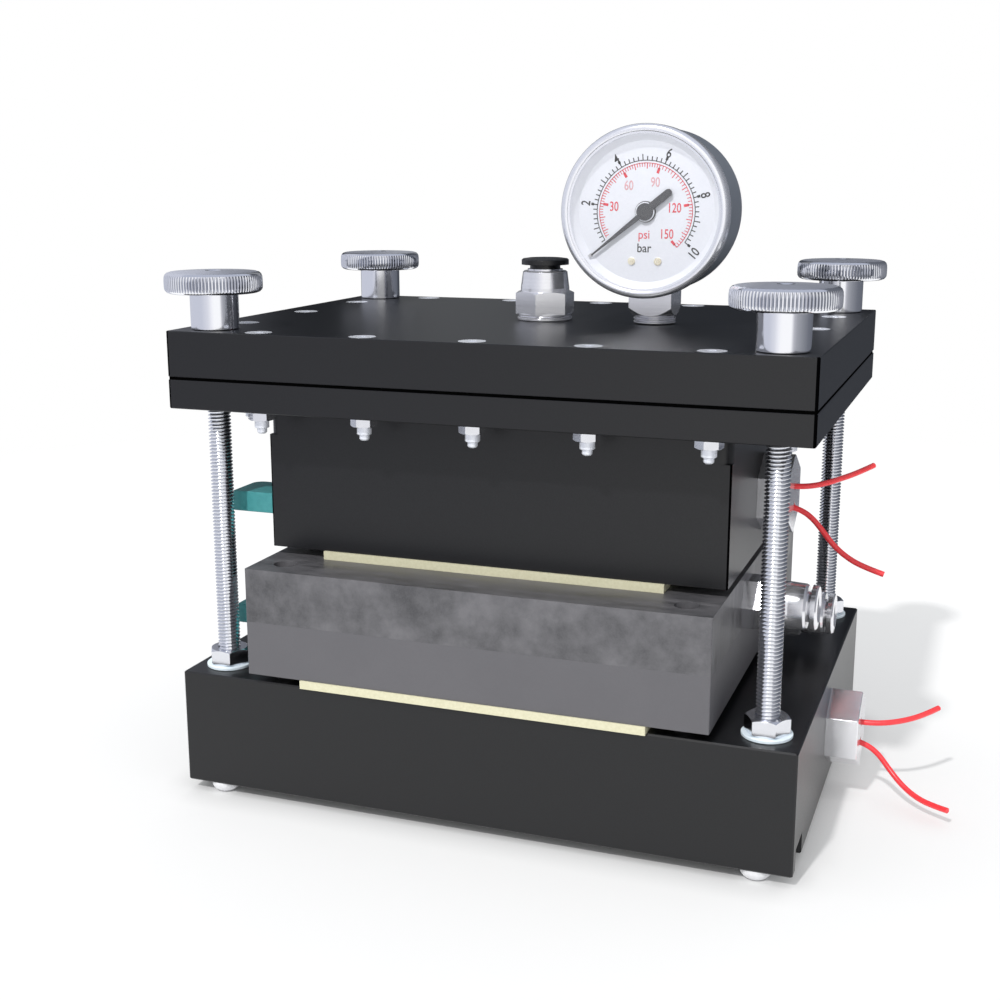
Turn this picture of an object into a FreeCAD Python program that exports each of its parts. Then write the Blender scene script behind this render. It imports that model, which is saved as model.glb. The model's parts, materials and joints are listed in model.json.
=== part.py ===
"""A heated clamping fixture for testing one flat battery cell, in millimetres.

X runs along the front face, Y runs from the front to the back and Z runs up. The origin is under the middle
of the object, on the surface that its feet stand on.
"""
import FreeCAD
import Part

import math
import os

# Sizes in the photograph are read against the tie rods, which are M8 with a pitch of 1.25.
rod_radius = 4.0
running_fit = 0.05
loose_fit = 0.5

cell_size = 165.0
lower_flow_plate_thickness = 19.25
upper_flow_plate_thickness = 19.25
cell_hole_radius = 4.1
cell_hole_depth = 2.5
locator_radius = 4.3
locator_from_cell_edge = 10.5
locator_spacing = cell_size - 2 * locator_from_cell_edge

rod_from_cell = 15.9
rod_from_base_side = 11.9
rod_from_base_front = 12.7
cell_overhang = 1.4
rod_spacing_x = cell_size + 2 * rod_from_cell
base_width = rod_spacing_x + 2 * rod_from_base_side
base_depth = cell_size - 2 * cell_overhang
rod_spacing_y = base_depth - 2 * rod_from_base_front
base_height = 42.0
edge_break = 0.5
corner_break = 0.5
slot_width = 13.5
slot_height = 7.6
slot_depth = 5.5
slot_from_front = 5.0

foot_radius = 5.2
foot_height = 4.0
foot_flat_radius = 2.6
foot_from_base_side = 12.5
foot_from_base_front = 5.6
foot_spacing_x = base_width - 2 * foot_from_base_side
foot_spacing_y = base_depth - 2 * foot_from_base_front

pad_thickness = 3.0
pad_from_bushes = 5.7
lower_pad_overhang = 0.5
lower_pad_width = locator_spacing - 2 * (locator_radius + pad_from_bushes)
lower_pad_depth = cell_size + 2 * lower_pad_overhang
upper_pad_size = lower_pad_width

block_width = 165.5
block_depth = 122.0
block_wide_height = 41.0
block_travel = 6.0
block_corner_radius = 4.0

plate_overhang = 0.7
plate_setback = 0.7
plate_width = base_width + 2 * plate_overhang
plate_depth = base_depth - 2 * plate_setback
lower_plate_thickness = 10.2
upper_plate_thickness = 16.0
membrane_thickness = 0.8
membrane_inset = 0.4
window_gap = 0.35
plate_gap_below = 10.7

screw_radius = 2.5
screw_hole_fit = 0.25
screw_head_radius = 4.6
screw_rim = 0.2
screw_socket_flats = 3.0
screw_socket_depth = 1.7
screw_from_rod_x = 20.4
screw_from_rod_y = 22.4
screw_from_plate_side = 12.0
screw_from_plate_front = 6.1
screw_pitch_x = (rod_spacing_x - 2 * screw_from_rod_x) / 4
screw_pitch_y = (rod_spacing_y - 2 * screw_from_rod_y) / 2
screw_row_y = plate_depth / 2 - screw_from_plate_front
screw_row_x = plate_width / 2 - screw_from_plate_side
screw_below_nut = 2.7
screw_tip_radius = 1.7
screw_tip_length = 2.0
screw_nut_flats = 8.0
screw_nut_height = 3.1

rod_nut_flats = 13.0
rod_nut_height = 5.6
rod_washer_radius = 8.3
rod_washer_thickness = 1.2
rod_washer_fit = 0.2
rod_depth_in_base = 20.0

knob_radius = 16.9
knob_head_height = 7.6
knob_stem_radius = 8.35
knob_stem_height = 12.6
knob_edge = 1.4
knob_crown = 0.4
knob_dimple_radius = 2.7
knob_dimple_depth = 1.0
knob_roof = 2.6

tab_length = 16.0
tab_depth = 17.5
tab_height = 7.4
tab_corner_radius = 4.0
cell_tab_from_front = 21.7
block_tab_behind_rod = 7.6
cell_tab_front = cell_tab_from_front - cell_size / 2
block_tab_front = block_tab_behind_rod - rod_spacing_y / 2
lower_tab_above_cell_foot = 10.8
upper_tab_above_block_foot = 11.9

plug_flats = 24.6
plug_length = 11.3
plug_shank_radius = 8.0
plug_shank_length = 12.0
plug_edge = 0.3
plug_height_in_base = 21.2
plug_height_in_block = 20.0
wire_radius = 1.0
wire_spacing = 7.2
wires_below_plug_axis = 1.0
wire_depth_in_plug = 2.0
wire_hole_fit = 0.6

fitting_flats = 17.0
fitting_hex_length = 13.0
fitting_body_radius = 8.2
fitting_nose_radius = 7.9
fitting_body_length = 8.4
fitting_spacing_y = 50.0
fitting_from_joint = 8.5
flow_tube_radius = 4.0
tube_fit = 0.05
flow_neck_radius = 5.3
flow_flange_radius = 7.75
flow_flange_thickness = 2.3
flow_collar_gap = 1.4
flow_sleeve_length = 6.0
flow_tube_seat = 16.8

air_hex_flats = 19.0
air_ring_radius = 10.1
air_ring_height = 2.4
air_hex_height = 8.2
air_body_radius = 8.9
air_nose_radius = 8.15
air_body_height = 7.4
air_rim_radius = 6.4
air_rim_height = 0.7
air_tube_radius = 5.0
air_neck_radius = 5.55
air_flange_radius = 8.65
air_flange_thickness = 2.4
air_collar_gap = 1.5
air_sleeve_length = 7.0
air_tube_seat = 15.0
port_radius = 6.55
port_depth = 9.0
port_bore_radius = 3.0

gauge_x = 41.5
gauge_height = 39.7
gauge_bezel_front = -20.8
gauge_case_radius = 28.5
gauge_bezel_radius = gauge_case_radius + 0.9
gauge_bezel_inner_radius = gauge_case_radius - 1.9
gauge_bezel_depth = 5.5
gauge_case_depth = 31.0
gauge_case_wall = 1.2
gauge_glass_thickness = 1.5
gauge_glass_setback = 1.4
gauge_dial_setback = 5.0
gauge_dial_flat_radius = 23.9
gauge_dial_rim_fit = 0.3
gauge_dial_thickness = 0.6
gauge_dial_rim_rise = 1.3
gauge_stem_width = 15.4
gauge_stem_foot_radius = 7.6
gauge_stem_foot_height = 2.9
gauge_stem_chamfer_height = 3.4
gauge_stem_above_axis = 7.0
gauge_stem_behind_axis = 6.0
gauge_stem_bore_height = 14.0
pointer_tip_length = 24.0
pointer_tail_length = 11.6
pointer_hub_radius = 2.9
pointer_tail_width = 2.6
pointer_root_width = 1.9
pointer_tip_width = 0.5
pointer_thickness = 0.5
pointer_above_dial = 1.0
pointer_rest_angle = -128.5
spindle_radius = 0.9
spindle_length = 7.0
dial_screw_radius = 1.3
dial_screw_height = 0.35
dial_screw_shank_radius = 0.7
dial_screw_shank_length = 2.5
dial_screw_spacing = 9.3
dial_screw_below_axis = 16.8

base_bottom = foot_height
base_top = base_bottom + base_height
cell_bottom = base_top + pad_thickness
cell_joint = cell_bottom + lower_flow_plate_thickness
cell_top = cell_joint + upper_flow_plate_thickness
block_bottom = cell_top + pad_thickness
block_step = block_bottom + block_wide_height
lower_plate_bottom = block_step + plate_gap_below
lower_plate_top = lower_plate_bottom + lower_plate_thickness
upper_plate_bottom = lower_plate_top + membrane_thickness
upper_plate_top = upper_plate_bottom + upper_plate_thickness
block_top = lower_plate_top - block_travel
knob_top = upper_plate_top + knob_stem_height + knob_head_height
rod_top = knob_top - knob_roof - 0.4
gauge_z = upper_plate_top + gauge_height

# The plates are drawn about x = 0 and then moved, so that the origin lies under the middle of the whole object.
left_reach = rod_spacing_x / 2 + knob_radius
right_reach = base_width / 2 + plug_length
footprint_middle = (right_reach - left_reach) / 2

X = FreeCAD.Vector(1, 0, 0)
Y = FreeCAD.Vector(0, 1, 0)
Z = FreeCAD.Vector(0, 0, 1)


def vec(x, y, z):
    return FreeCAD.Vector(x, y, z)


def block(x0, x1, y0, y1, z0, z1):
    return Part.makeBox(x1 - x0, y1 - y0, z1 - z0, vec(x0, y0, z0))


def centred(width, depth, z0, z1):
    return block(-width / 2, width / 2, -depth / 2, depth / 2, z0, z1)


def rod(radius, start, end):
    return Part.makeCylinder(radius, (end - start).Length, start, end - start)


def turned(profile):
    """A solid of revolution about Z from (radius, height) corners."""
    points = [vec(r, 0, z) for r, z in profile]
    face = Part.Face(Part.makePolygon(points + points[:1]))
    return face.revolve(vec(0, 0, 0), Z, 360)


def along_x(shape, at):
    """Turns a shape built up Z so that it points along X, and moves it to at."""
    shape.rotate(vec(0, 0, 0), Y, 90)
    shape.translate(at)
    return shape


def facing_front(shape, at):
    """Turns a shape built up Z so that it points out of the front, and moves it to at."""
    shape.rotate(vec(0, 0, 0), X, 90)
    shape.translate(at)
    return shape


def moved(shape, at):
    shape.translate(at)
    return shape


def hexagon(flats, height, chamfer=0.0, both_ends=False, turn=0.0):
    """A hexagonal prism up Z, its corners turned off at the top and, if asked, at the bottom too."""
    corner = flats / math.sqrt(3)
    angles = [math.radians(60 * k + turn) for k in range(7)]
    outline = Part.makePolygon([vec(corner * math.cos(a), corner * math.sin(a), 0) for a in angles])
    prism = Part.Face(outline).extrude(vec(0, 0, height))
    if chamfer:
        top_radius = flats / 2 - 0.05
        slope_height = (corner + 0.5 - top_radius) * chamfer / (corner - flats / 2)
        foot = slope_height if both_ends else 0
        profile = [(0, 0), (top_radius, 0), (corner + 0.5, foot)] if both_ends else [(0, 0), (corner + 0.5, 0)]
        profile += [(corner + 0.5, height - slope_height), (top_radius, height), (0, height)]
        prism = prism.common(turned(profile))
    return prism


def edges_along(shape, axis, position_test=None):
    """The straight edges that run along an axis and pass the test."""
    found = []
    for edge in shape.Edges:
        if not isinstance(edge.Curve, Part.Line):
            continue
        run = edge.Vertexes[1].Point - edge.Vertexes[0].Point
        parallel = abs(run.dot(axis)) > 0.999 * run.Length
        if parallel and (position_test is None or position_test(edge.CenterOfMass)):
            found.append(edge)
    return found


def broken_edges(shape, amount, corner_amount):
    """Breaks the four standing corners and then the rims of a plain plate."""
    shape = shape.makeChamfer(corner_amount, edges_along(shape, Z))
    low, high = shape.BoundBox.ZMin, shape.BoundBox.ZMax
    rims = [e for e in shape.Edges if e.BoundBox.ZMax - e.BoundBox.ZMin < 0.001]
    rims = [e for e in rims if abs(e.BoundBox.ZMin - low) < 0.001 or abs(e.BoundBox.ZMin - high) < 0.001]
    return shape.makeChamfer(amount, rims)


def save(shape, node):
    shape.translate(vec(-footprint_middle, 0, 0))
    shape.exportStep("parts/" + node + ".step")


def save_group(shapes, node):
    save(Part.makeCompound(shapes), node)


corners = [(sx, sy) for sx in (1, -1) for sy in (-1, 1)]
rod_places = {
    "front_right": (rod_spacing_x / 2, -rod_spacing_y / 2),
    "front_left": (-rod_spacing_x / 2, -rod_spacing_y / 2),
    "rear_left": (-rod_spacing_x / 2, rod_spacing_y / 2),
    "rear_right": (rod_spacing_x / 2, rod_spacing_y / 2),
}
screw_places = [(k * screw_pitch_x, s * screw_row_y) for s in (-1, 1) for k in (-2, -1, 0, 1, 2)]
screw_places += [(s * screw_row_x, k * screw_pitch_y) for s in (-1, 1) for k in (-1, 0, 1)]


def base_block():
    base = broken_edges(centred(base_width, base_depth, base_bottom, base_top), edge_break, corner_break)
    for x, y in rod_places.values():
        floor = base_top - rod_depth_in_base - loose_fit
        base = base.cut(rod(rod_radius + running_fit, vec(x, y, floor), vec(x, y, base_top + 1)))
    side = base_width / 2
    plug_z = base_bottom + plug_height_in_base
    base = base.cut(
        rod(plug_shank_radius + running_fit, vec(side - plug_shank_length - loose_fit, 0, plug_z), vec(side + 1, 0, plug_z))
    )
    front = -base_depth / 2 + slot_from_front
    slot = block(side - slot_depth, side + 1, front, front + slot_width, base_bottom - 1, base_bottom + slot_height)
    return base.cut(slot)


def foot():
    half = foot_height / 2
    edge = vec(foot_radius, 0, foot_height)
    middle = vec(foot_radius * 0.92, 0, half * 0.75)
    flat = vec(foot_flat_radius, 0, 0)
    dome = Part.Arc(edge, middle, flat).toShape()
    rim = [Part.makeLine(flat, vec(0, 0, 0)), Part.makeLine(vec(0, 0, 0), vec(0, 0, foot_height))]
    rim += [Part.makeLine(vec(0, 0, foot_height), edge)]
    wire = Part.Wire(Part.__sortEdges__([dome] + rim))
    return Part.Face(wire).revolve(vec(0, 0, 0), Z, 360)


def tie_rod(x, y):
    tip = 0.8
    low = base_top - rod_depth_in_base
    profile = [(0, low), (rod_radius - tip, low), (rod_radius, low + tip), (rod_radius, rod_top - tip)]
    return moved(turned(profile + [(rod_radius - tip, rod_top), (0, rod_top)]), vec(x, y, 0))


def rod_washer(x, y):
    rim = 0.2
    hole, outer, thick = rod_radius + rod_washer_fit, rod_washer_radius, rod_washer_thickness
    profile = [(hole, 0), (outer - rim, 0), (outer, rim), (outer, thick - rim), (outer - rim, thick), (hole, thick)]
    return moved(turned(profile), vec(x, y, base_top))


def rod_nut(x, y):
    nut = hexagon(rod_nut_flats, rod_nut_height, chamfer=0.6, both_ends=True, turn=0)
    nut = nut.cut(rod(rod_radius + running_fit, vec(0, 0, -1), vec(0, 0, rod_nut_height + 1)))
    return moved(nut, vec(x, y, base_top + rod_washer_thickness))


def locating_bush(x, y):
    return rod(locator_radius, vec(x, y, base_top), vec(x, y, cell_bottom))


def flow_plate(z0, z1, fitting_centre):
    plate = centred(cell_size, cell_size, z0, z1)
    inward = fitting_centre - vec(plug_shank_length, 0, 0)
    plate = plate.cut(rod(port_radius, inward, fitting_centre + vec(1, 0, 0)))
    return plate.makeChamfer(0.25, edges_along(plate, Z))


def upper_flow_plate(fitting_centre):
    plate = flow_plate(cell_joint, cell_top, fitting_centre)
    half = locator_spacing / 2
    for sx, sy in corners:
        place = vec(sx * half, sy * half, cell_top - cell_hole_depth)
        plate = plate.cut(rod(cell_hole_radius, place, place + vec(0, 0, 2 * cell_hole_depth)))
    return plate


def flow_fitting_centres():
    side = cell_size / 2
    front = vec(side, -fitting_spacing_y / 2, cell_joint + fitting_from_joint)
    rear = vec(side, fitting_spacing_y / 2, cell_joint - fitting_from_joint)
    return [front, rear]


def terminal_tab(side, front, foot_z):
    """A flat tab that stands out of the left face, its outer rear corner rounded."""
    tab = block(side - tab_length, side, front, front + tab_depth, foot_z, foot_z + tab_height)

    def outer_rear(point):
        return point.x < side - tab_length / 2 and point.y > front + tab_depth / 2

    tab = tab.makeFillet(tab_corner_radius, edges_along(tab, Z, outer_rear))
    return tab.makeChamfer(0.25, edges_along(tab, X))


def heater_plug(side, z):
    """A hexagonal plug with a shank in the block and two bores for its wires."""
    head = hexagon(plug_flats, plug_length)
    head = head.makeChamfer(plug_edge, [e for e in head.Edges if e.BoundBox.ZMin > plug_length - 0.01])
    shank = rod(plug_shank_radius, vec(0, 0, -plug_shank_length), vec(0, 0, 0.5))
    plug = head.fuse(shank).removeSplitter()
    plug = along_x(plug, vec(side, 0, z))
    floor = side + plug_length - wire_depth_in_plug - 1
    for wire_z in wire_heights(z):
        plug = plug.cut(rod(wire_radius + wire_hole_fit, vec(floor, 0, wire_z), vec(side + plug_length + 1, 0, wire_z)))
    return plug


def wire_heights(plug_z):
    middle = plug_z - wires_below_plug_axis
    return middle + wire_spacing / 2, middle - wire_spacing / 2


def press_block():
    wide = centred(block_width, block_depth, block_bottom, block_step)
    wide = wide.makeChamfer(0.4, edges_along(wide, Z))
    neck = centred(block_width, block_depth, block_step - 1, block_top)
    neck = neck.makeFillet(block_corner_radius, edges_along(neck, Z))
    whole = wide.fuse(neck).removeSplitter()
    plug_z = block_bottom + plug_height_in_block
    side = block_width / 2
    bore = rod(plug_shank_radius + running_fit, vec(side - plug_shank_length - loose_fit, 0, plug_z), vec(side + 1, 0, plug_z))
    return whole.cut(bore)


def lower_plate():
    plate = centred(plate_width, plate_depth, lower_plate_bottom, lower_plate_top)
    plate = broken_edges(plate, 0.3, corner_break)
    gap = 2 * window_gap
    window = centred(block_width + gap, block_depth + gap, lower_plate_bottom - 1, lower_plate_top + 1)
    window = window.makeFillet(block_corner_radius + window_gap, edges_along(window, Z))
    return drilled(plate.cut(window))


def drilled(plate):
    low, high = plate.BoundBox.ZMin - 1, plate.BoundBox.ZMax + 1
    holes = [rod(rod_radius + loose_fit, vec(x, y, low), vec(x, y, high)) for x, y in rod_places.values()]
    hole_radius = screw_radius + screw_hole_fit
    holes += [rod(hole_radius, vec(x, y, low), vec(x, y, high)) for x, y in screw_places]
    return plate.cut(Part.makeCompound(holes))


def membrane():
    inset = 2 * membrane_inset
    return drilled(centred(plate_width - inset, plate_depth - inset, lower_plate_top, upper_plate_bottom))


def upper_plate():
    plate = centred(plate_width, plate_depth, upper_plate_bottom, upper_plate_top)
    plate = drilled(broken_edges(plate, 0.3, corner_break))
    cone_foot = -screw_rim - (screw_head_radius - screw_radius)
    cone = turned(
        [
            (0, cone_foot),
            (screw_radius + running_fit, cone_foot),
            (screw_head_radius + running_fit, -screw_rim),
            (screw_head_radius + running_fit, 1),
            (0, 1),
        ]
    )
    sinks = [moved(cone.copy(), vec(x, y, upper_plate_top)) for x, y in screw_places]
    floor = upper_plate_top - port_depth
    ports = []
    for x in (0, gauge_x):
        ports.append(rod(port_radius + running_fit, vec(x, 0, floor), vec(x, 0, upper_plate_top + 1)))
        ports.append(rod(port_bore_radius, vec(x, 0, upper_plate_bottom - 1), vec(x, 0, floor + 1)))
    return plate.cut(Part.makeCompound(sinks)).cut(ports[0]).cut(ports[1]).cut(ports[2]).cut(ports[3])


def plate_screw(x, y):
    """A countersunk screw with a short turned-down tip."""
    shank_end = lower_plate_bottom - screw_nut_height - screw_below_nut - upper_plate_top
    tip = shank_end - screw_tip_length
    cone_foot = -screw_rim - (screw_head_radius - screw_radius)
    profile = [(0, tip), (screw_tip_radius - 0.5, tip), (screw_tip_radius, tip + 0.5), (screw_tip_radius, shank_end)]
    profile += [(screw_radius - 0.2, shank_end), (screw_radius, shank_end + 0.2), (screw_radius, cone_foot)]
    profile += [(screw_head_radius, -screw_rim), (screw_head_radius, 0), (0, 0)]
    screw = turned(profile)
    socket = moved(hexagon(screw_socket_flats, screw_socket_depth + 1), vec(0, 0, -screw_socket_depth))
    return moved(screw.cut(socket), vec(x, y, upper_plate_top))


def screw_nut(x, y):
    nut = hexagon(screw_nut_flats, screw_nut_height, chamfer=0.3, both_ends=True, turn=20)
    nut = nut.cut(rod(screw_radius + running_fit, vec(0, 0, -1), vec(0, 0, screw_nut_height + 1)))
    return moved(nut, vec(x, y, lower_plate_bottom - screw_nut_height))


def knob(x, y):
    head = knob_stem_height
    top = knob_stem_height + knob_head_height
    profile = [
        (0, 0),
        (knob_stem_radius - 0.4, 0),
        (knob_stem_radius, 0.4),
        (knob_stem_radius, head),
        (knob_radius - knob_edge, head),
        (knob_radius, head + knob_edge * 0.8),
        (knob_radius, top - knob_edge - knob_crown),
        (knob_radius - knob_edge * 0.35, top - knob_edge * 0.35 - knob_crown),
        (knob_radius - knob_edge, top - knob_crown),
        (knob_dimple_radius, top),
        (0, top - knob_dimple_depth),
    ]
    body = turned(profile)
    bore_top = top - knob_roof
    bore = turned([(0, -1), (rod_radius + running_fit, -1), (rod_radius + running_fit, bore_top), (0, bore_top)])
    return moved(body.cut(bore), vec(x, y, upper_plate_top))


def air_fitting_body():
    """A push-in fitting for a tube, up Z from the plate, with its thread in the plate's port."""
    hex_low = air_ring_height
    hex_high = hex_low + air_hex_height
    nose = hex_high + air_body_height
    ring = turned(
        [
            (0, 0),
            (air_ring_radius - 0.3, 0),
            (air_ring_radius, 0.4),
            (air_ring_radius, 1.1),
            (air_ring_radius - 0.7, 1.5),
            (air_ring_radius - 0.2, 1.9),
            (air_ring_radius - 0.2, hex_low + 0.1),
            (0, hex_low + 0.1),
        ]
    )
    hex_part = moved(hexagon(air_hex_flats, air_hex_height, chamfer=0.7, turn=30), vec(0, 0, hex_low))
    barrel = turned(
        [
            (0, hex_high - 0.5),
            (air_body_radius, hex_high - 0.5),
            (air_body_radius, hex_high + 1.2),
            (air_nose_radius, nose - 0.4),
            (air_nose_radius - 0.5, nose),
            (air_rim_radius, nose),
            (air_rim_radius, nose + air_rim_height),
            (0, nose + air_rim_height),
        ]
    )
    shank = rod(port_radius, vec(0, 0, loose_fit - port_depth), vec(0, 0, 0.5))
    body = ring.fuse([hex_part, barrel, shank]).removeSplitter()
    mouth = nose + air_rim_height
    sleeve_bore = turned(
        [
            (0, mouth - air_sleeve_length - air_collar_gap),
            (air_neck_radius + tube_fit, mouth - air_sleeve_length - air_collar_gap),
            (air_neck_radius + tube_fit, mouth + 1),
            (0, mouth + 1),
        ]
    )
    tube_bore = rod(air_tube_radius + tube_fit, vec(0, 0, mouth - air_tube_seat), vec(0, 0, mouth))
    way_through = rod(port_bore_radius, vec(0, 0, -port_depth), vec(0, 0, mouth))
    body = body.cut(sleeve_bore).cut(tube_bore).cut(way_through)
    return moved(body, vec(0, 0, upper_plate_top))


def release_collar(neck_radius, bore_radius, sleeve_length, gap, flange_radius, flange_thickness):
    """A release collar up Z: z = 0 is the fitting's mouth, the sleeve hangs below it and the flange stands above."""
    flange = gap + flange_thickness
    return turned(
        [
            (bore_radius, -sleeve_length),
            (neck_radius, -sleeve_length),
            (neck_radius, gap),
            (flange_radius, gap),
            (flange_radius, flange - 0.7),
            (flange_radius - 0.5, flange - 0.25),
            (bore_radius + 1.2, flange),
            (bore_radius, flange - 0.6),
        ]
    )


def air_release_collar():
    mouth = upper_plate_top + air_ring_height + air_hex_height + air_body_height + air_rim_height
    collar = release_collar(
        air_neck_radius, air_tube_radius + tube_fit, air_sleeve_length, air_collar_gap, air_flange_radius, air_flange_thickness
    )
    return moved(collar, vec(0, 0, mouth))


def flow_fitting(centre):
    """A metal push-in fitting that stands out of the cell's right face, built up Z and then turned along X."""
    hex_part = hexagon(fitting_flats, fitting_hex_length, chamfer=0.8, turn=90)
    mouth = fitting_hex_length + fitting_body_length
    barrel = turned(
        [
            (0, fitting_hex_length - 0.5),
            (fitting_body_radius, fitting_hex_length - 0.5),
            (fitting_body_radius, fitting_hex_length + 2.5),
            (fitting_nose_radius, mouth - 0.9),
            (fitting_nose_radius - 0.5, mouth),
            (0, mouth),
        ]
    )
    shank = rod(port_radius - running_fit, vec(0, 0, loose_fit - plug_shank_length), vec(0, 0, 0.5))
    body = hex_part.fuse([barrel, shank]).removeSplitter()
    sleeve_floor = mouth - flow_sleeve_length - flow_collar_gap
    sleeve_bore = rod(flow_neck_radius + tube_fit, vec(0, 0, sleeve_floor), vec(0, 0, mouth + 1))
    tube_bore = rod(flow_tube_radius + tube_fit, vec(0, 0, mouth - flow_tube_seat), vec(0, 0, mouth))
    way_through = rod(port_bore_radius, vec(0, 0, -plug_shank_length), vec(0, 0, mouth))
    return along_x(body.cut(sleeve_bore).cut(tube_bore).cut(way_through), centre)


def flow_release_collar(centre):
    collar = release_collar(
        flow_neck_radius,
        flow_tube_radius + tube_fit,
        flow_sleeve_length,
        flow_collar_gap,
        flow_flange_radius,
        flow_flange_thickness,
    )
    return along_x(collar, centre + vec(fitting_hex_length + fitting_body_length, 0, 0))


gauge_front = vec(gauge_x, gauge_bezel_front, gauge_z)
dial_face = gauge_bezel_front + gauge_dial_setback


def on_gauge(setback):
    return vec(gauge_x, gauge_bezel_front + setback, gauge_z)


def gauge_stem_blank(grow=0.0):
    half = gauge_stem_width / 2 + grow
    low = upper_plate_top + gauge_stem_foot_height
    return block(gauge_x - half, gauge_x + half, -half, half, low, gauge_z - gauge_stem_above_axis)


def gauge_stem():
    """Square wrench flats turned down at the foot, a threaded neck and the shank in the plate's port."""
    half = gauge_stem_width / 2
    low = upper_plate_top + gauge_stem_foot_height
    high = gauge_z
    corner = half * math.sqrt(2) + 0.3
    cone = turned([(0, low), (half - 0.2, low), (corner, low + gauge_stem_chamfer_height), (corner, high), (0, high)])
    flats = gauge_stem_blank().common(moved(cone, vec(gauge_x, 0, 0)))
    foot = gauge_stem_foot_radius
    profile = [(0, loose_fit - port_depth), (port_radius, loose_fit - port_depth), (port_radius, 0), (foot - 0.8, 0)]
    profile += [(foot, 0.5), (foot, 0.9), (foot - 0.7, 1.3), (foot, 1.7), (foot, 2.1), (foot - 0.7, 2.5)]
    profile += [(foot - 0.7, gauge_stem_foot_height + 0.2), (0, gauge_stem_foot_height + 0.2)]
    neck = moved(turned(profile), vec(gauge_x, 0, upper_plate_top))
    dial_back = dial_face + gauge_dial_thickness
    in_case = gauge_z - gauge_case_radius + 2 * gauge_case_wall
    movement = block(
        gauge_x - half, gauge_x + half, dial_back, gauge_stem_behind_axis, in_case, gauge_z + gauge_stem_above_axis
    )
    stem = flats.fuse([neck, movement]).removeSplitter()
    stem = stem.cut(rod(port_bore_radius, vec(gauge_x, 0, 0), vec(gauge_x, 0, upper_plate_top + gauge_stem_bore_height)))
    spindle_end = vec(gauge_x, dial_face + spindle_length + loose_fit, gauge_z)
    stem = stem.cut(rod(spindle_radius + running_fit, vec(gauge_x, dial_face, gauge_z), spindle_end))
    for place in dial_screw_places():
        stem = stem.cut(rod(dial_screw_shank_radius + running_fit, place, place + vec(0, dial_screw_shank_length + loose_fit, 0)))
    return stem


def gauge_case():
    front = gauge_bezel_front + gauge_bezel_depth
    back = gauge_bezel_front + gauge_case_depth
    length = back - front + 2.0
    outer = gauge_case_radius
    inner = outer - gauge_case_wall
    can = turned(
        [
            (0, 0),
            (outer - 2.0, 0),
            (outer - 0.6, 0.6),
            (outer, 2.0),
            (outer, length),
            (inner, length),
            (inner, gauge_case_wall),
            (0, gauge_case_wall),
        ]
    )
    can = facing_front(can, vec(gauge_x, back, gauge_z))
    return can.cut(gauge_stem_blank(grow=running_fit))


def gauge_bezel():
    outer = gauge_bezel_radius
    inner = gauge_bezel_inner_radius
    wall = gauge_case_radius + running_fit
    seat = gauge_glass_setback
    profile = [
        (wall, -gauge_bezel_depth),
        (outer, -gauge_bezel_depth),
        (outer, -1.6),
        (outer - 0.45, -0.6),
        (outer - 1.3, -0.05),
        (outer - 1.9, 0),
        (inner + 0.2, -0.7),
        (inner - 0.4, -seat),
        (wall, -seat),
    ]
    return facing_front(turned(profile), gauge_front)


def gauge_glass():
    glass = turned(
        [
            (0, -gauge_glass_setback - gauge_glass_thickness),
            (gauge_case_radius - 0.3, -gauge_glass_setback - gauge_glass_thickness),
            (gauge_case_radius - 0.3, -gauge_glass_setback),
            (0, -gauge_glass_setback),
        ]
    )
    return facing_front(glass, gauge_front)


def gauge_dial():
    """A dished plate: the scale is on its flat middle and its rim comes forward to the glass."""
    thick = gauge_dial_thickness
    rise = gauge_dial_rim_rise
    hole = spindle_radius + 0.3
    rim = gauge_case_radius - gauge_case_wall - gauge_dial_rim_fit
    profile = [
        (hole, -thick),
        (gauge_dial_flat_radius, -thick),
        (rim, rise - thick),
        (rim, rise),
        (gauge_dial_flat_radius, 0),
        (hole, 0),
    ]
    dial = facing_front(turned(profile), on_gauge(gauge_dial_setback))
    for place in dial_screw_places():
        dial = dial.cut(rod(dial_screw_shank_radius + running_fit, place - vec(0, 1, 0), place + vec(0, 2, 0)))
    return dial


def dial_screw_places():
    low = gauge_z - dial_screw_below_axis
    return [vec(gauge_x + side * dial_screw_spacing / 2, dial_face, low) for side in (-1, 1)]


def dial_screw(place):
    head = rod(dial_screw_radius, place, place - vec(0, dial_screw_height, 0))
    shank = rod(dial_screw_shank_radius, place - vec(0, 0.1, 0), place + vec(0, dial_screw_shank_length, 0))
    return head.fuse(shank).removeSplitter()


def gauge_pointer():
    """The pointer points up in its own drawing and is then turned to its rest at the scale's start."""
    low = pointer_above_dial
    high = low + pointer_thickness
    needle = Part.Face(
        Part.makePolygon(
            [
                vec(-pointer_root_width / 2, 0, low),
                vec(pointer_root_width / 2, 0, low),
                vec(pointer_tip_width / 2, pointer_tip_length, low),
                vec(-pointer_tip_width / 2, pointer_tip_length, low),
                vec(-pointer_root_width / 2, 0, low),
            ]
        )
    ).extrude(vec(0, 0, pointer_thickness))
    half = pointer_tail_width / 2
    tail = block(-half, half, -pointer_tail_length + half, 0, low, high)
    tail_end = rod(half, vec(0, -pointer_tail_length + half, low), vec(0, -pointer_tail_length + half, high))
    hub = rod(pointer_hub_radius, vec(0, 0, low), vec(0, 0, high))
    spindle = rod(spindle_radius, vec(0, 0, -spindle_length), vec(0, 0, high - 0.1))
    pointer = needle.fuse([tail, tail_end, hub, spindle]).removeSplitter()
    pointer.rotate(vec(0, 0, 0), Z, -pointer_rest_angle)
    return facing_front(pointer, vec(gauge_x, dial_face, gauge_z))


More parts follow.
